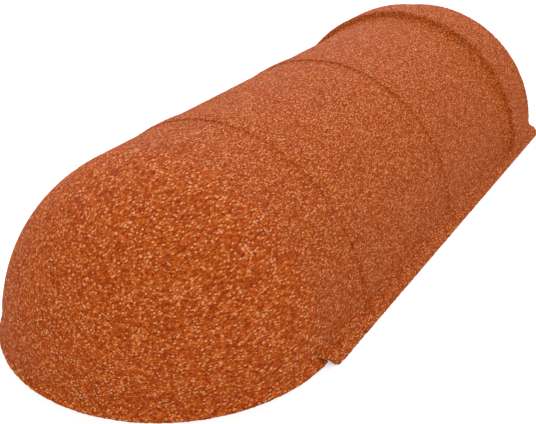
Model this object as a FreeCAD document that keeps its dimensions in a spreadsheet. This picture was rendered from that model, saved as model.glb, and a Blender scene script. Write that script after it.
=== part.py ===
import FreeCAD, Part
import math
import os
import Sketcher

# Hip starter for a stone-coated steel roof: one pressed sheet. A half-round
# barrel closes at its front in a quarter-sphere nose, carries two low bands
# and one tall collar, and stands on a folded lip along each side. The plain
# tail behind the collar goes under the next cap.
# It is drawn with the centre of the nose at the origin, the barrel running
# along +Y and the ground at Z = 0, and then placed with the middle of its
# footprint at the origin.

NODE = "hip_starter"
SHEET = "Sizes"
HALF_TURN = 180.0
CLOSE = 0.001

SIZES = (
    ("sheet_wall", 2.0),  # coated sheet, from face to face
    ("barrel_radius", 100.0),  # outer radius of the barrel and the nose
    ("barrel_length", 383.25),  # centre of the nose to the rear edge
    ("first_band", 48.2),  # centre of the nose to the front of the first band
    ("band_pitch", 136.5),  # from band to band, and from band to collar
    ("band_height", 1.0),
    ("band_rise", 1.6),  # length of a band's steep front
    ("band_top", 13.0),
    ("band_fall", 14.0),  # length of a band's gentle back
    ("collar_height", 6.6),
    ("collar_length", 33.3),
    ("collar_hollow", 3.0),  # radius at the foot of the collar's two ends
    ("rim_flare", 2.75),  # how far the nose turns out at the ground
    ("rim_height", 6.0),  # height at which that turn begins
    ("lip_reach", 9.2),  # outer edge of the lip, beyond the barrel
    ("lip_height", 5.9),  # top of the lip above the ground
    ("lip_flat", 4.5),  # level strip before the lip turns down
    ("lip_lead", 4.0),  # how far the lips start ahead of the nose's centre
)


def make_sheet(doc):
    """Write the driving sizes in a spreadsheet, one aliased cell each."""
    sheet = doc.addObject("Spreadsheet::Sheet", SHEET)
    for row, (name, value) in enumerate(SIZES, start=1):
        sheet.set("A%d" % row, name)
        sheet.set("B%d" % row, str(value))
        sheet.setAlias("B%d" % row, name)
    doc.recompute()
    return sheet


def bound(formula):
    """Turn a formula of size names into an expression on the sheet's cells."""
    words = formula.split()
    cells = [SHEET + "." + word if word[0].isalpha() else word for word in words]
    return " ".join(cells)


def total(sheet, formula):
    """Work out a formula of sizes as a number, from left to right."""
    terms = []
    sign = 1
    divide = False
    for word in formula.split():
        if word == "/":
            divide = True
        elif word in "+-":
            sign = 1 if word == "+" else -1
        elif divide:
            terms[-1] /= float(word)
            divide = False
        else:
            terms.append(sign * sheet.get(word))
    return sum(terms)


def add_sketch(body, name, role):
    """Attach a new sketch to one of the body's own origin planes."""
    sketch = body.newObject("Sketcher::SketchObject", name)
    planes = [plane for plane in body.Origin.OriginFeatures if plane.Role == role]
    sketch.AttachmentSupport = (planes[0], [""])
    sketch.MapMode = "FlatFace"
    return sketch


def hold(sketch, formula, kind, *where):
    """Add a dimension and bind it to the sheet."""
    value = total(sketch.Document.getObject(SHEET), formula)
    index = sketch.addConstraint(Sketcher.Constraint(kind, *where, value))
    sketch.setExpression("Constraints[%d]" % index, bound(formula))


def tie(sketch, kind, *where):
    """Add a constraint that has no value."""
    sketch.addConstraint(Sketcher.Constraint(kind, *where))


def add_corner(sketch, across, up):
    """Add a construction point held at its two distances from the origin."""
    point = sketch.addGeometry(Part.Point(FreeCAD.Vector(1, 1, 0)), True)
    for kind, formula in (("DistanceX", across), ("DistanceY", up)):
        if formula == "":
            tie(sketch, "PointOnObject", point, 1, -2 if kind == "DistanceX" else -1)
        else:
            hold(sketch, formula, kind, -1, 1, point, 1)
    return point


def arc_middle(start, finish, radius, side):
    """Find the middle of the short arc from start to finish."""
    chord = finish - start
    half = chord.Length / 2
    rise = radius - math.sqrt(radius ** 2 - half ** 2)
    across = FreeCAD.Vector(-chord.y, chord.x, 0).normalize()
    return (start + finish) / 2 + across * rise * side


def join(sketch, sheet, first, second, bend="", side=1):
    """Draw the edge between two corners: a line, or an arc of radius bend."""
    start = sketch.getPoint(first, 1)
    finish = sketch.getPoint(second, 1)
    ends = (1, 2)
    if bend == "":
        edge = sketch.addGeometry(Part.LineSegment(start, finish), False)
    else:
        middle = arc_middle(start, finish, total(sheet, bend), side)
        edge = sketch.addGeometry(Part.Arc(start, middle, finish), False)
        if sketch.getPoint(edge, 1).distanceToPoint(start) > CLOSE:
            ends = (2, 1)
        hold(sketch, bend, "Radius", edge)
    tie(sketch, "Coincident", edge, ends[0], first, 1)
    tie(sketch, "Coincident", edge, ends[1], second, 1)


def draw_chain(sketch, sheet, corners):
    """Draw edges through corners given as (across, up, bend, side).

    The bend and its side belong to the edge that leaves the corner.
    """
    points = [add_corner(sketch, across, up) for across, up, _, _ in corners]
    sketch.Document.recompute()
    for index in range(len(points) - 1):
        _, _, bend, side = corners[index]
        join(sketch, sheet, points[index], points[index + 1], bend, side)
    return points


def draw_loop(sketch, sheet, corners):
    """Draw a closed outline that ends with a straight edge."""
    points = draw_chain(sketch, sheet, corners)
    join(sketch, sheet, points[-1], points[0])


def straight(across, up):
    """Describe a corner with a straight edge after it."""
    return (across, up, "", 1)


def band_corners(front, face):
    """List one face's corners at a raised band."""
    top = face + " + band_height"
    crest = front + " + band_rise"
    back = crest + " + band_top"
    return [
        straight(front, face),
        straight(crest, top),
        straight(back, top),
        straight(back + " + band_fall", face),
    ]


def collar_corners(front, face, inset):
    """List one face's corners at the collar.

    Each end is an S of two quarter rounds that share their centres on both
    faces. inset is the wall's thickness on the inner face.
    """
    more = " + " + inset if inset else ""
    less = " - " + inset if inset else ""
    hollow = "collar_hollow" + more
    crown = "collar_height - collar_hollow" + less
    waist = "barrel_radius + collar_hollow"
    top = face + " + collar_height"
    rear = front + " + collar_length"
    return [
        (front + " - collar_hollow", face, hollow, -1),
        (front + more, waist, crown, 1),
        straight(front + " + collar_height - collar_hollow", top),
        (rear + " - collar_height + collar_hollow", top, crown, 1),
        (rear + less, waist, hollow, -1),
        straight(rear + " + collar_hollow", face),
    ]


def shell_face(face, inset):
    """List the corners of one face of the wall, from the nose's tip to the rear."""
    second_band = "first_band + band_pitch"
    collar = "first_band + band_pitch + band_pitch"
    tip = "- barrel_radius" + (" + " + inset if inset else "")
    corners = [(tip, "", face, 1)]
    corners.append(straight("", face))
    corners += band_corners("first_band", face)
    corners += band_corners(second_band, face)
    corners += collar_corners(collar, face, inset)
    corners.append(straight("barrel_length", face))
    return corners


def revolve(body, name, sketch, axis):
    """Turn a sketch through half a circle about one of its own axes."""
    feature = body.newObject("PartDesign::Revolution", name)
    feature.Profile = sketch
    feature.ReferenceAxis = (sketch, [axis])
    feature.Angle = HALF_TURN
    return feature


def make_shell(body, sheet):
    """The nose, barrel, bands, collar and tail, all of one wall."""
    sketch = add_sketch(body, "shell_wall", "YZ_Plane")
    outer = draw_chain(sketch, sheet, shell_face("barrel_radius", ""))
    inner = draw_chain(sketch, sheet, shell_face("barrel_radius - sheet_wall", "sheet_wall"))
    join(sketch, sheet, outer[0], inner[0])
    join(sketch, sheet, outer[-1], inner[-1])
    shell = revolve(body, "shell", sketch, "H_Axis")
    shell.Midplane = True


def cut_foot(body, sheet):
    """Clear the nose's foot, where the flared rim takes over from the round."""
    sketch = add_sketch(body, "foot_section", "XZ_Plane")
    left = "- barrel_radius - rim_flare"
    right = "barrel_radius + rim_flare"
    corners = [
        straight(left, ""),
        straight(right, ""),
        straight(right, "rim_height"),
        straight(left, "rim_height"),
    ]
    draw_loop(sketch, sheet, corners)
    foot = body.newObject("PartDesign::Pocket", "foot")
    foot.Profile = sketch
    foot.Reversed = True
    foot.setExpression("Length", bound("barrel_radius + barrel_radius"))


def rim_bend(radius, height, flare):
    """Radius of the round that leaves the nose at height and ends flared."""
    knee = FreeCAD.Vector(math.sqrt(radius ** 2 - height ** 2), height, 0) / radius
    toe = FreeCAD.Vector(radius + flare, 0, 0)
    reach = knee.dot(toe)
    return (radius ** 2 + toe.Length ** 2 - 2 * radius * reach) / (2 * (reach - radius))


def make_rim(body, sheet):
    """The nose's foot, turned out a little all the way round."""
    sketch = add_sketch(body, "rim_wall", "XZ_Plane")
    wall = sheet.get("sheet_wall")
    radius = sheet.get("barrel_radius")
    height = sheet.get("rim_height")
    bend = rim_bend(radius, height, sheet.get("rim_flare"))
    up = FreeCAD.Vector(0, 0, 1)
    knee_turn = math.asin(height / radius)
    centre = FreeCAD.Vector(math.cos(knee_turn), math.sin(knee_turn), 0) * (radius + bend)
    ends = []
    for depth, face in ((0, "barrel_radius"), (wall, "barrel_radius - sheet_wall")):
        circle = Part.Circle(centre, up, bend + depth)
        knee = math.pi + math.asin((centre.y - height) / (bend + depth))
        toe = math.pi + math.asin(centre.y / (bend + depth))
        arc = sketch.addGeometry(Part.ArcOfCircle(circle, knee, toe), False)
        dome = sketch.addGeometry(Part.Circle(FreeCAD.Vector(), up, radius - depth), True)
        ends.append((arc, sketch.getPoint(arc, 1), sketch.getPoint(arc, 2)))
        tie(sketch, "Coincident", dome, 3, -1, 1)
        hold(sketch, face, "Radius", dome)
        tie(sketch, "Tangent", arc, 1, dome)
        hold(sketch, "rim_height", "DistanceY", -1, 1, arc, 1)
        tie(sketch, "PointOnObject", arc, 2, -1)
    (outer, outer_knee, outer_toe), (inner, inner_knee, inner_toe) = ends
    hold(sketch, "barrel_radius + rim_flare", "DistanceX", -1, 1, outer, 2)
    hold(sketch, "sheet_wall", "Distance", inner, 2, outer)
    for end, start, finish in ((1, outer_knee, inner_knee), (2, outer_toe, inner_toe)):
        edge = sketch.addGeometry(Part.LineSegment(start, finish), False)
        tie(sketch, "Coincident", edge, 1, outer, end)
        tie(sketch, "Coincident", edge, 2, inner, end)
    rim = revolve(body, "rim", sketch, "V_Axis")
    rim.Reversed = True


def along_the_side(sketch, feature):
    """Run a cross-section from the front of the lips to the rear edge."""
    sketch.setExpression("AttachmentOffset.Base.z", bound("lip_lead"))
    feature.Profile = sketch
    feature.setExpression("Length", bound("barrel_length + lip_lead"))


def opposite(formula):
    """Give the same distance on the other side of the middle."""
    swapped = formula.replace(" + ", " | ").replace(" - ", " + ").replace(" | ", " - ")
    return "- " + swapped


def make_lips(body, sheet):
    """The strips that leave the barrel's feet and turn down to the ground."""
    sketch = add_sketch(body, "lip_section", "XZ_Plane")
    root = "barrel_radius - sheet_wall / 2"
    bend = "barrel_radius + lip_flat"
    toe = "barrel_radius + lip_reach"
    for side in (str, opposite):
        draw_loop(sketch, sheet, [
            straight(side(root), ""),
            straight(side(root), "lip_height"),
            straight(side(bend), "lip_height"),
            straight(side(toe), ""),
        ])
    lips = body.newObject("PartDesign::Pad", "lips")
    along_the_side(sketch, lips)
    lips.Reversed = True


def make_channel(body, sheet):
    """The open space between the lips, which leaves them one sheet thick."""
    sketch = add_sketch(body, "channel_section", "XZ_Plane")
    wall = sheet.get("sheet_wall")
    bend = add_corner(sketch, "barrel_radius + lip_flat", "lip_height")
    toe = add_corner(sketch, "barrel_radius + lip_reach", "")
    body.Document.recompute()
    start = sketch.getPoint(bend, 1)
    finish = sketch.getPoint(toe, 1)
    outside = sketch.addGeometry(Part.LineSegment(start, finish), True)
    tie(sketch, "Coincident", outside, 1, bend, 1)
    tie(sketch, "Coincident", outside, 2, toe, 1)
    start -= FreeCAD.Vector(wall / 2, wall, 0)
    finish -= FreeCAD.Vector(wall, 0, 0)
    inside = sketch.addGeometry(Part.LineSegment(start, finish), False)
    hold(sketch, "sheet_wall", "Distance", bend, 1, inside)
    hold(sketch, "lip_height - sheet_wall", "DistanceY", -1, 1, inside, 1)
    tie(sketch, "Parallel", inside, outside)
    tie(sketch, "PointOnObject", inside, 2, -1)
    other_start = FreeCAD.Vector(-start.x, start.y, 0)
    other_finish = FreeCAD.Vector(-finish.x, finish.y, 0)
    other = sketch.addGeometry(Part.LineSegment(other_start, other_finish), False)
    for end, here, there in ((1, start, other_start), (2, finish, other_finish)):
        tie(sketch, "Symmetric", inside, end, other, end, -2)
        edge = sketch.addGeometry(Part.LineSegment(here, there), False)
        tie(sketch, "Coincident", edge, 1, inside, end)
        tie(sketch, "Coincident", edge, 2, other, end)
    channel = body.newObject("PartDesign::Pocket", "channel")
    along_the_side(sketch, channel)


def check(doc, body):
    """Stop with a plain message if anything in the document has failed."""
    for thing in doc.Objects:
        if "Invalid" in thing.State or "Error" in thing.State:
            raise RuntimeError("%s is not built: %s" % (thing.Label, thing.State))
    if body.Shape.isNull() or not body.Shape.isValid():
        raise RuntimeError(body.Label + " has no valid shape")
    if len(body.Shape.Solids) != 1:
        raise RuntimeError("the sheet is not one solid")
    channel = doc.getObject("channel")
    if channel.Shape.Volume > channel.BaseFeature.Shape.Volume - CLOSE:
        raise RuntimeError("the channel cuts nothing")


def make_hip_starter(doc, sheet):
    """The whole pressed sheet, as one body."""
    body = doc.addObject("PartDesign::Body", NODE)
    body.Label = NODE
    make_shell(body, sheet)
    cut_foot(body, sheet)
    make_rim(body, sheet)
    make_lips(body, sheet)
    make_channel(body, sheet)
    body.setExpression(
        "Placement.Base.y", bound("( barrel_radius + rim_flare - barrel_length ) / 2"))
    doc.recompute()
    return body


doc = FreeCAD.newDocument("hip_starter")
sheet = make_sheet(doc)
body = make_hip_starter(doc, sheet)
check(doc, body)
os.makedirs("parts", exist_ok=True)
body.Shape.exportStep("parts/" + NODE + ".step")
box = body.Shape.optimalBoundingBox(False)
print("%s: %.2f x %.2f x %.2f mm, volume %.0f mm3" % (
    NODE, box.XLength, box.YLength, box.ZLength, body.Shape.Volume))
print("lowest corner %.3f %.3f %.3f" % (box.XMin, box.YMin, box.ZMin))
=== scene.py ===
import math
import bmesh
import bpy
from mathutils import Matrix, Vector, noise


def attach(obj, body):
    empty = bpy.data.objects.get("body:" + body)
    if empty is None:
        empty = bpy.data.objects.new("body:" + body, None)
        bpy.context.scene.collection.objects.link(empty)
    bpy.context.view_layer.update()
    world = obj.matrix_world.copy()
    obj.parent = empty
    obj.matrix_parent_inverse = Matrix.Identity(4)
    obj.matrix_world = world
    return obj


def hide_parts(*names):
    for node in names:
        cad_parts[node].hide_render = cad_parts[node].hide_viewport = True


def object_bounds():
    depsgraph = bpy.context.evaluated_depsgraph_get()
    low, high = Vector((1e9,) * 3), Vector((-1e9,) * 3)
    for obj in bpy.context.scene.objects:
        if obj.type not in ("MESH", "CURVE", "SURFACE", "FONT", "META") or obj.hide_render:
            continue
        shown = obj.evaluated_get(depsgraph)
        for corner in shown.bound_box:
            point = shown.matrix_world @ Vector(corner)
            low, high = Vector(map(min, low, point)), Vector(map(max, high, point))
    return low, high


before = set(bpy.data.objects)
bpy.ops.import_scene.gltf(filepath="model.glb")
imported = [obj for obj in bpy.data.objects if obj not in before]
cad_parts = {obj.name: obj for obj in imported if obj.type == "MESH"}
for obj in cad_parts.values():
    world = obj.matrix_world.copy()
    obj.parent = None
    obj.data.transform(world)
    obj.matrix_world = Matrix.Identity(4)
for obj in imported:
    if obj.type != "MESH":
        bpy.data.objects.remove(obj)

low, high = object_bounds()

# The pressed sheet. A hip starter is formed from one steel blank: half-round
# barrel, quarter-sphere nose, two low bands, a collar and a lip along each
# side. This section says where its outer face lies and which way it faces.
MM = 0.001
RIM_FLARE = 2.75 * MM
RIM_HEIGHT = 6.0 * MM
RIM_POWER = 1.7
COLLAR_HEIGHT = 6.6 * MM
COLLAR_HOLLOW = 3.0 * MM
COLLAR_START = 321.2 * MM
COLLAR_LENGTH = 33.3 * MM
BAND_STARTS = (48.2 * MM, 184.7 * MM)
BAND_HEIGHT = 1.0 * MM
BAND_RISE = 1.6 * MM
BAND_TOP = 13.0 * MM
BAND_FALL = 14.0 * MM
CREASE_DEPTH = 0.28 * MM
CREASE_HALF = 1.3 * MM
POOL_DEPTH = 1.5 * MM
POOL_HALF = 9.0 * MM
LIP_HEIGHT = 5.9 * MM
LIP_FLAT = 4.5 * MM
LIP_LEAD = 4.0 * MM
LIP_SLANT = 0.9
RADIUS = high.z - COLLAR_HEIGHT
NOSE_Y = low.y + RADIUS + RIM_FLARE
BARREL_LENGTH = high.y - NOSE_Y
LIP_BEND = RADIUS + LIP_FLAT
LIP_TOE = high.x


def collar_rise(inside):
    """Height of the collar's S-shaped end, inside being the distance in from its face."""
    crown = COLLAR_HEIGHT - COLLAR_HOLLOW
    if inside <= -COLLAR_HOLLOW:
        return 0.0
    if inside <= 0:
        run = inside + COLLAR_HOLLOW
        return COLLAR_HOLLOW - math.sqrt(COLLAR_HOLLOW ** 2 - run ** 2)
    run = max(0.0, crown - inside)
    return COLLAR_HOLLOW + math.sqrt(crown ** 2 - run ** 2)


def swell(along):
    """How far the barrel stands out from its plain radius."""
    rise = 0.0
    for start in BAND_STARTS:
        front = (along - start) / BAND_RISE
        back = (start + BAND_RISE + BAND_TOP + BAND_FALL - along) / BAND_FALL
        rise = max(rise, BAND_HEIGHT * min(1.0, front, back))
    return max(rise, collar_rise(min(along - COLLAR_START, COLLAR_START + COLLAR_LENGTH - along)))


def coat_swell(along):
    """The swell of the coat's face.

    The coat is thin in the fold at each band's foot, and granules gather in
    the hollow before the collar.
    """
    fold = min(abs(along - start) for start in BAND_STARTS)
    dip = CREASE_DEPTH * max(0.0, 1 - fold / CREASE_HALF)
    hollow = min(1.0, abs(along - COLLAR_START + COLLAR_HOLLOW) / POOL_HALF)
    fill = POOL_DEPTH * (1 + math.cos(math.pi * hollow)) / 2
    return min(COLLAR_HEIGHT, swell(along) - dip + fill)


def rim_flare(height):
    """How far the nose's foot has turned out at this height."""
    share = max(0.0, 1 - height / RIM_HEIGHT)
    return RIM_FLARE * share ** RIM_POWER


def wall_point(turn, station):
    """A point of the outer face and its outward direction.

    turn goes over the barrel from 0 to pi. station is (along, radius, lean)
    on the barrel, where lean is the slope of the wall, and (angle,) on the
    nose, from 0 at the barrel to a quarter turn at the tip.
    """
    side, up = math.cos(turn), math.sin(turn)
    if len(station) == 1:
        away = Vector((side * math.cos(station[0]), -math.sin(station[0]), up * math.cos(station[0])))
        place = away * RADIUS
        flat = Vector((place.x, place.y, 0)).normalized()
        place += flat * rim_flare(place.z)
        return place + Vector((0, NOSE_Y, 0)), away
    along, radius, lean = station
    away = Vector((side, -lean, up)).normalized()
    return Vector((side * radius, NOSE_Y + along, up * radius)), away


# The stone coat. Crushed stone granules a couple of millimetres across are
# dropped on the sheet's outer face while its acrylic bed is wet, and glazed
# over. The coat is in sections from nose to tail, and one strip on each lip.
SPACING = 0.72 * MM
GRAIN = 1.9 * MM
RELIEF = 0.58 * MM
WAVE = 0.08 * MM
WAVE_SIZE = 26 * MM
COAT_DEPTH = 0.95 * MM
FOOT = 2.6 * MM
FINE_STEP = 0.1 * MM
STEP_REACH = 4.0 * MM
STEP_SHARE = 0.6
WELD = 0.002 * MM


def grain_depth(place):
    """How far the coat's face lies below the highest granules here."""
    near = noise.voronoi(place / GRAIN)[0][0]
    wave = noise.noise(place / WAVE_SIZE)
    return RELIEF * min(1.0, near) + WAVE * (1 + wave)


def barrel_stations():
    """Stations evenly spaced along the barrel's wall, closer on its steps."""
    stations = []
    count = round(BARREL_LENGTH / FINE_STEP)
    before = (0.0, RADIUS)
    covered = SPACING
    for index in range(count + 1):
        along = BARREL_LENGTH * index / count
        radius = RADIUS + coat_swell(along)
        covered += math.hypot(along - before[0], radius - before[1])
        on_step = min(abs(along - start) for start in (*BAND_STARTS, COLLAR_START)) < STEP_REACH
        if covered >= SPACING * (STEP_SHARE if on_step else 1.0) or index == count:
            lean = (coat_swell(along + FINE_STEP) - coat_swell(along - FINE_STEP)) / (2 * FINE_STEP)
            stations.append((along, radius, lean))
            covered = 0.0
        before = (along, radius)
    return stations


def grid_of(rows, columns, placed):
    """A grid whose vertices are placed by row and column and sunk by the grain, with the inward
    direction at each vertex.
    """
    shape = bmesh.new()
    bmesh.ops.create_grid(shape, x_segments=columns - 1, y_segments=rows - 1, size=1)
    inward = {}
    for vertex in shape.verts:
        column = round((vertex.co.x + 1) / 2 * (columns - 1))
        row = round((vertex.co.y + 1) / 2 * (rows - 1))
        place, away = placed(row, column)
        vertex.co = place - away * grain_depth(place)
        vertex.co.z = max(vertex.co.z, low.z)
        inward[vertex] = -away
    return shape, inward


def turn_in_edges(shape, inward):
    """Carry the coat's open edges down to the steel, and face it outwards."""
    rims = [edge for edge in shape.edges if edge.is_boundary]
    ends = {vertex for edge in rims for vertex in edge.verts}
    tips = {}
    for vertex in ends:
        tips[tuple(vertex.co)] = inward[vertex]
    made = bmesh.ops.extrude_edge_only(shape, edges=rims)["geom"]
    for vertex in (item for item in made if isinstance(item, bmesh.types.BMVert)):
        vertex.co += tips[tuple(vertex.co)] * COAT_DEPTH
        vertex.co.z = max(vertex.co.z, low.z)
    bmesh.ops.recalc_face_normals(shape, faces=shape.faces)


def finish_piece(shape, name, material):
    """Turn a bmesh into a smooth piece that rides with the sheet."""
    bmesh.ops.remove_doubles(shape, verts=shape.verts, dist=WELD)
    mesh = bpy.data.meshes.new(name)
    shape.to_mesh(mesh)
    shape.free()
    mesh.shade_smooth()
    mesh.materials.append(material)
    piece = bpy.data.objects.new(name, mesh)
    bpy.context.scene.collection.objects.link(piece)
    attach(piece, "root")
    return piece


class Socket:
    """A shader output that can be added to, taken from and multiplied."""

    def __init__(self, tree, output):
        self.tree = tree
        self.output = output

    def maths(self, operation, first, second):
        return self.tree.add("ShaderNodeMath", {"operation": operation}, {0: first, 1: second})[0]

    def __add__(self, other):
        return self.maths("ADD", self, other)

    def __mul__(self, other):
        return self.maths("MULTIPLY", self, other)

    def __sub__(self, other):
        return self.maths("SUBTRACT", self, other)

    def __rsub__(self, other):
        return self.maths("SUBTRACT", other, self)

    __radd__ = __add__
    __rmul__ = __mul__


class Finish:
    """The shader nodes of a material or of the world, under construction."""

    def __init__(self, owner):
        owner.use_nodes = True
        self.nodes = owner.node_tree.nodes
        self.links = owner.node_tree.links
        self.nodes.clear()

    def add(self, kind, settings, inputs):
        """Add a node and return its outputs, by number."""
        node = self.nodes.new(kind)
        for name, value in settings.items():
            setattr(node, name, value)
        for key, value in inputs.items():
            if isinstance(value, Socket):
                self.links.new(value.output, node.inputs[key])
            else:
                node.inputs[key].default_value = value
        return [Socket(self, output) for output in node.outputs]

    def ramp(self, factor, stops):
        """Colour by a number, through (position, colour) stops."""
        node = self.nodes.new("ShaderNodeValToRGB")
        band = node.color_ramp
        for position, colour in stops[1:-1]:
            band.elements.new(position).color = (*colour, 1)
        band.elements[0].position, band.elements[0].color = stops[0][0], (*stops[0][1], 1)
        band.elements[-1].position, band.elements[-1].color = stops[-1][0], (*stops[-1][1], 1)
        self.links.new(factor.output, node.inputs[0])
        return Socket(self, node.outputs[0])


def painted(red, green, blue):
    """A colour given as it looks, from 0 to 255, as the renderer's linear values."""
    shares = [part / 255 for part in (red, green, blue)]
    return tuple(s / 12.92 if s <= 0.04045 else ((s + 0.055) / 1.055) ** 2.4 for s in shares)


GRAIN_SCALE = (1.4, 0.75, 1.8)
CHIPS_PER_GRAIN = 1.8
CLOUD_SIZE = 30 * MM
CREASE_SHADE_REACH = 1.1 * MM
PICKED_BLEND = 0.14


def granule_finish(name, size, picked):
    """Terracotta granules of one size: each has its own shade, those past picked are pale with a painted
    glint, and painted shade darkens the crevices between granules and the fold at each band's foot.
    """
    material = bpy.data.materials.new(name)
    finish = Finish(material)
    place = finish.add("ShaderNodeTexCoord", {}, {})[3]
    flat = finish.add("ShaderNodeMapping", {}, {0: place, 3: GRAIN_SCALE})[0]
    grain = finish.add("ShaderNodeTexVoronoi", {"feature": "F1"},
                       {"Vector": flat, "Scale": 1 / size, "Randomness": 1.0})
    chips = finish.add("ShaderNodeTexVoronoi", {"feature": "F1"},
                       {"Vector": flat, "Scale": CHIPS_PER_GRAIN / size, "Randomness": 1.0})
    cloud = finish.add("ShaderNodeTexNoise", {},
                       {"Vector": place, "Scale": 1 / CLOUD_SIZE, "Detail": 3.0, "Roughness": 0.6})
    shade = finish.add("ShaderNodeSeparateColor", {}, {0: grain[1]})
    chip_shade = finish.add("ShaderNodeSeparateColor", {}, {0: chips[1]})
    tone = shade[0] * 0.45 + chip_shade[0] * 0.55
    stone = finish.ramp(tone, [
        (0.15, painted(157, 50, 0)),
        (0.40, painted(188, 76, 2)),
        (0.66, painted(206, 96, 18)),
        (0.86, painted(240, 136, 66)),
    ])
    # Some granules are pale: partly their own paler stone, partly a painted glint on their facets.
    core = finish.ramp(grain[0], [(0.30, (1, 1, 1)), (0.58, (0, 0, 0))])
    chosen = finish.ramp(shade[1], [(picked, (0, 0, 0)), (picked + PICKED_BLEND, (1, 1, 1))])
    glint_flecked = finish.add("ShaderNodeMix", {"data_type": "RGBA"},
                         {0: core * chosen, 6: stone, 7: (*painted(250, 172, 116), 1)})[2]
    # Painted shade: each granule darkens towards its edge, in the crevices between granules.
    crevice_shade = finish.ramp(grain[0], [(0.45, (1, 1, 1)), (0.85, (0.76, 0.60, 0.42))])
    patch = finish.ramp(cloud[0], [(0.35, (0.97, 0.96, 0.95)), (0.65, (1.0, 1.0, 1.0))])
    # Painted shade along the fold at each band's foot, darkest at the fold itself.
    along = finish.add("ShaderNodeSeparateXYZ", {}, {0: place})[1]
    first, second = (
        along.maths("ABSOLUTE", along - (NOSE_Y + start), 0.0) for start in BAND_STARTS)
    fold = finish.ramp(first.maths("MINIMUM", first, second) * (1 / CREASE_SHADE_REACH), [
        (0.2, (0.87, 0.80, 0.73)), (1.0, (1, 1, 1))])
    colour = glint_flecked
    # The painted shades and the random tone patches are multiplied into the colour.
    for shade_and_tone in (crevice_shade, patch, fold):
        colour = finish.add("ShaderNodeMix", {"data_type": "RGBA", "blend_type": "MULTIPLY"},
                            {0: 1.0, 6: colour, 7: shade_and_tone})[2]
    height = (1 - grain[0]) * (shade[1] * 0.8 + 0.4) + (1 - chips[0]) * 0.45 + chip_shade[2] * 0.3
    bump = finish.add("ShaderNodeBump", {}, {"Strength": 1.0, "Distance": 0.9 * MM, "Height": height})
    glint = 0.92 - shade[2] * 0.34
    shader = finish.add("ShaderNodeBsdfPrincipled", {}, {
        "Base Color": colour, "Roughness": glint, "Normal": bump[0], "Specular IOR Level": 0.15})
    finish.add("ShaderNodeOutputMaterial", {}, {0: shader[0]})
    return material


coarse = granule_finish("coarse_granules", 1.75 * MM, 0.68)
fine = granule_finish("fine_granules", 1.30 * MM, 0.63)
columns = round(math.pi * RADIUS / SPACING) + 1
nose_rows = round(math.pi / 2 * RADIUS / SPACING)
nose = [(math.pi / 2 * (1 - row / nose_rows),) for row in range(nose_rows)]
barrel = barrel_stations()
third = len(barrel) // 3
sections = {
    "stone_coat_nose": nose + barrel[:1],
    "stone_coat_front": barrel[:third + 1],
    "stone_coat_middle": barrel[third:third * 2 + 1],
    "stone_coat_rear": barrel[third * 2:],
}
for name, stations in sections.items():
    shape, inward = grid_of(len(stations), columns, lambda row, column: wall_point(
        math.pi * column / (columns - 1), stations[row]))
    if name != "stone_coat_nose":
        hidden = [v for v in shape.verts if v.co.z < FOOT]
        bmesh.ops.delete(shape, geom=hidden, context="VERTS")
    turn_in_edges(shape, inward)
    finish_piece(shape, name, coarse if name == "stone_coat_nose" else fine)

# The lips. The foot of the barrel turns out level and then down to the
# ground. Each lip's coat is a strip whose toe is a little ragged and whose
# front end is cut aslant.
ROOT_ROUND = 3.6 * MM
ROOT_BURY = 0.2 * MM
ROOT_STEPS = 9
BEND_REACH = 1.4 * MM
BEND_STEPS = 4
LIP_STEP = 0.55 * MM


def lip_path():
    """Points across a lip's outer face, each with its outward direction.

    It leaves the barrel in a hollow round, turns over a tight bend and runs
    down to the ground.
    """
    slope = Vector((LIP_TOE - LIP_BEND, -LIP_HEIGHT))
    leg = slope.length - BEND_REACH
    slope.normalize()
    face = Vector((0, 1))
    side = Vector((-slope.y, slope.x))
    centre = Vector((RADIUS + ROOT_ROUND - ROOT_BURY, LIP_HEIGHT + ROOT_ROUND))
    steps = []
    for index in range(ROOT_STEPS):
        angle = math.pi * (1 + index / ROOT_STEPS / 2)
        spoke = Vector((math.cos(angle), math.sin(angle)))
        steps.append((centre + spoke * ROOT_ROUND, -spoke))
    corner = Vector((LIP_BEND, LIP_HEIGHT))
    for index in range(BEND_STEPS + 1):
        share = index / BEND_STEPS
        first = corner - Vector((BEND_REACH, 0)) * (1 - share)
        second = corner + slope * BEND_REACH * share
        steps.append((first.lerp(second, share), face.lerp(side, share).normalized()))
    count = round(leg / LIP_STEP)
    for index in range(1, count + 1):
        steps.append((corner + slope * (BEND_REACH + leg * index / count), side))
    return steps


def lip_front(side):
    """Where a lip starts, this far from the middle: its end is cut aslant."""
    middle = (RADIUS + LIP_TOE) / 2
    return NOSE_Y - LIP_LEAD + LIP_SLANT * (side - middle)


FRAY = 1.3 * MM
FRAY_STEP = 0.45
FRAYED_COLUMNS = 2
LIP_OVERLAP = 1.2 * MM
across = lip_path()
lip_rows = round((BARREL_LENGTH + LIP_LEAD) / SPACING) + 1
for name, hand in (("stone_coat_lip_right", 1), ("stone_coat_lip_left", -1)):
    def lip_point(row, column):
        spot, away = across[column]
        if column >= len(across) - FRAYED_COLUMNS:
            spot = spot - Vector((FRAY * abs(noise.noise(Vector((row * FRAY_STEP, hand, 0)))), 0))
        start = lip_front(spot.x)
        y = start + (high.y - start) * row / (lip_rows - 1)
        return Vector((spot.x * hand, y, spot.y)), Vector((away.x * hand, 0, away.y))
    shape, inward = grid_of(lip_rows, len(across), lip_point)
    hidden = [v for v in shape.verts if abs(v.co.x) < RADIUS + swell(v.co.y - NOSE_Y) - LIP_OVERLAP]
    bmesh.ops.delete(shape, geom=hidden, context="VERTS")
    turn_in_edges(shape, inward)
    finish_piece(shape, name, fine)

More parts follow.
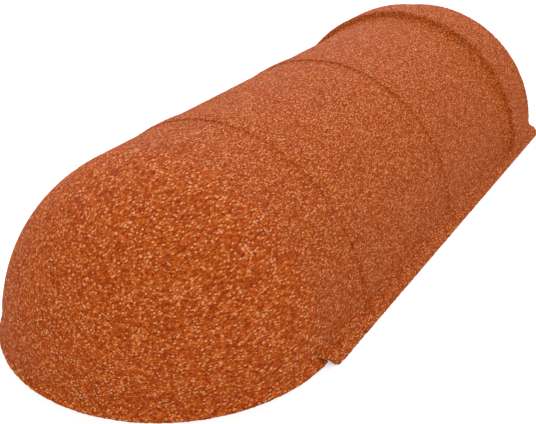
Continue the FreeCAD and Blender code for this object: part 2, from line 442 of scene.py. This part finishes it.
# The steel. Under the coat is the thin pressed sheet itself, primed on its
# hidden face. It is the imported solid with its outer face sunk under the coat.
NEAR_FACE = 0.3 * MM
NEAR_WALL = 0.4 * MM
ROOT_MARGIN = 0.2 * MM
TOP_MARGIN = 0.1 * MM
FRONT_MARGIN = 1.0 * MM
LIP_SINK = COAT_DEPTH - 0.25 * MM
WALL_SINK = COAT_DEPTH - 0.15 * MM
STEEL_WELD = 0.001 * MM
SHARP_ANGLE = 35


def sunk(place):
    """Where a corner of the solid goes, if it lies on the outer face."""
    place = place.copy()
    if abs(place.x) > RADIUS and abs(place.y - NOSE_Y + LIP_LEAD) < NEAR_FACE:
        place.y = lip_front(abs(place.x)) + COAT_DEPTH
    local = place - Vector((0, NOSE_Y, 0))
    if local.y < 0:
        flat = Vector((local.x, local.y, 0))
        out = rim_flare(local.z)
        core = local - flat.normalized() * out if flat.length else local
        away = core.normalized()
        depth = RADIUS - core.length
    else:
        lean = (swell(local.y + FINE_STEP) - swell(local.y - FINE_STEP)) / (2 * FINE_STEP)
        away = Vector((local.x, 0, local.z)).normalized()
        away = Vector((away.x, -lean, away.z)).normalized()
        depth = RADIUS + swell(local.y) - Vector((local.x, local.z)).length
        depth /= math.hypot(1, lean)
    beside = abs(local.x) > RADIUS + ROOT_MARGIN
    if beside and local.z < LIP_HEIGHT + TOP_MARGIN and local.y >= -LIP_LEAD - FRONT_MARGIN:
        run = Vector((LIP_TOE - LIP_BEND, -LIP_HEIGHT)).normalized()
        side = Vector((-run.y, run.x))
        from_bend = Vector((abs(local.x) - LIP_BEND, local.z - LIP_HEIGHT))
        tilt = -from_bend.dot(side)
        if from_bend.x < 0 and LIP_HEIGHT - local.z < NEAR_FACE:
            return place - Vector((0, 0, LIP_SINK))
        if tilt < NEAR_FACE:
            return place - Vector((side.x * math.copysign(1, local.x), 0, side.y)) * LIP_SINK
        return place
    if depth < NEAR_WALL:
        return place - away * WALL_SINK
    return place


def primer_finish():
    """Brown primer with a faint mottle."""
    material = bpy.data.materials.new("back_primer")
    finish = Finish(material)
    place = finish.add("ShaderNodeTexCoord", {}, {})[3]
    mottle = finish.add("ShaderNodeTexNoise", {}, {"Vector": place, "Scale": 90.0, "Detail": 4.0})
    pores = finish.add("ShaderNodeTexNoise", {}, {"Vector": place, "Scale": 900.0, "Detail": 2.0})
    colour = finish.ramp(mottle[0], [(0.3, painted(112, 74, 56)), (0.7, painted(128, 86, 66))])
    bump = finish.add("ShaderNodeBump", {}, {"Strength": 0.25, "Distance": 0.2 * MM, "Height": pores[0]})
    rough = mottle[0] * 0.2 + 0.45
    shader = finish.add("ShaderNodeBsdfPrincipled", {}, {
        "Base Color": colour, "Roughness": rough, "Normal": bump[0]})
    finish.add("ShaderNodeOutputMaterial", {}, {0: shader[0]})
    return material


shape = bmesh.new()
shape.from_mesh(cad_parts["hip_starter"].data)
bmesh.ops.remove_doubles(shape, verts=shape.verts, dist=STEEL_WELD)
moved = set()
for vertex in shape.verts:
    place = sunk(vertex.co)
    if (place - vertex.co).length > 0:
        moved.add(vertex)
    vertex.co = place
    vertex.co.z = max(place.z, low.z)
for face in shape.faces:
    face.material_index = int(all(vertex in moved for vertex in face.verts))
steel = finish_piece(shape, "steel_sheet", primer_finish())
steel.data.materials.append(fine)
steel.data.set_sharp_from_angle(angle=math.radians(SHARP_ANGLE))
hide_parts("hip_starter")

# The studio. A pale floor that keeps a soft shadow, even light all round, and
# three broad lamps: the key behind on the left, a low one on the right towards
# the front and a high one in front.
FLOOR_SIZE = 30.0
FLOOR_GAP = 0.2 * MM
FLOOR_GLOW = 0.42
WORLD_LIGHT = 0.78


def seen_by_camera(finish):
    """The rays that show a finish to the camera."""
    ray = finish.add("ShaderNodeLightPath", {}, {})
    return ray[0] + ray[4] + ray[6]


floor_shape = bmesh.new()
bmesh.ops.create_grid(floor_shape, x_segments=1, y_segments=1, size=FLOOR_SIZE)
floor_mesh = bpy.data.meshes.new("floor")
floor_shape.to_mesh(floor_mesh)
floor_shape.free()
paper_material = bpy.data.materials.new("floor_paper")
paper = Finish(paper_material)
glow = paper.add("ShaderNodeEmission", {}, {0: (1, 1, 1, 1), 1: seen_by_camera(paper) * FLOOR_GLOW})
matte = paper.add("ShaderNodeBsdfDiffuse", {}, {0: (0.8, 0.8, 0.8, 1)})
both = paper.add("ShaderNodeAddShader", {}, {0: matte[0], 1: glow[0]})
paper.add("ShaderNodeOutputMaterial", {}, {0: both[0]})
floor_mesh.materials.append(paper_material)
floor = bpy.data.objects.new("floor", floor_mesh)
floor.location.z = low.z - FLOOR_GAP
bpy.context.scene.collection.objects.link(floor)

world = bpy.data.worlds.new("studio_air")
bpy.context.scene.world = world
air = Finish(world)
sky_light = seen_by_camera(air) * (1 - WORLD_LIGHT) + WORLD_LIGHT
sky = air.add("ShaderNodeBackground", {}, {0: (1, 1, 1, 1), 1: sky_light})
air.add("ShaderNodeOutputWorld", {}, {0: sky[0]})


def add_lamp(name, azimuth, elevation, strength, spread):
    """A broad far lamp. Azimuth turns from +X towards +Y."""
    lamp = bpy.data.lights.new(name, "SUN")
    lamp.energy = strength
    lamp.angle = math.radians(spread)
    holder = bpy.data.objects.new(name, lamp)
    turn, lift = math.radians(azimuth), math.radians(elevation)
    toward = Vector((math.cos(turn) * math.cos(lift), math.sin(turn) * math.cos(lift), math.sin(lift)))
    holder.rotation_euler = toward.to_track_quat("Z", "Y").to_euler()
    bpy.context.scene.collection.objects.link(holder)


add_lamp("key_lamp", azimuth=118, elevation=38, strength=1.3, spread=50)
add_lamp("front_lamp", azimuth=328, elevation=14, strength=0.55, spread=60)
add_lamp("high_lamp", azimuth=270, elevation=55, strength=0.33, spread=60)

# The camera, above and to the right of the nose, looking back along the
# barrel and down.
CAMERA_SIDE = 261.68 * MM
CAMERA_AHEAD = 322.48 * MM
CAMERA_HEIGHT = 278.79 * MM
CAMERA_DIP = 0.48337
CAMERA_TURN = 0.55082
camera_data = bpy.data.cameras.new("camera")
camera = bpy.data.objects.new("camera", camera_data)
camera_data.sensor_width = 36.0
camera_data.lens = 55.577
camera_data.clip_start = 0.01
camera_data.clip_end = 100.0
camera.location = (CAMERA_SIDE, NOSE_Y - CAMERA_AHEAD, CAMERA_HEIGHT)
camera.rotation_euler = (math.pi / 2 - CAMERA_DIP, 0, CAMERA_TURN)
bpy.context.scene.collection.objects.link(camera)
bpy.context.scene.camera = camera
bpy.context.scene.view_settings.view_transform = "Standard"
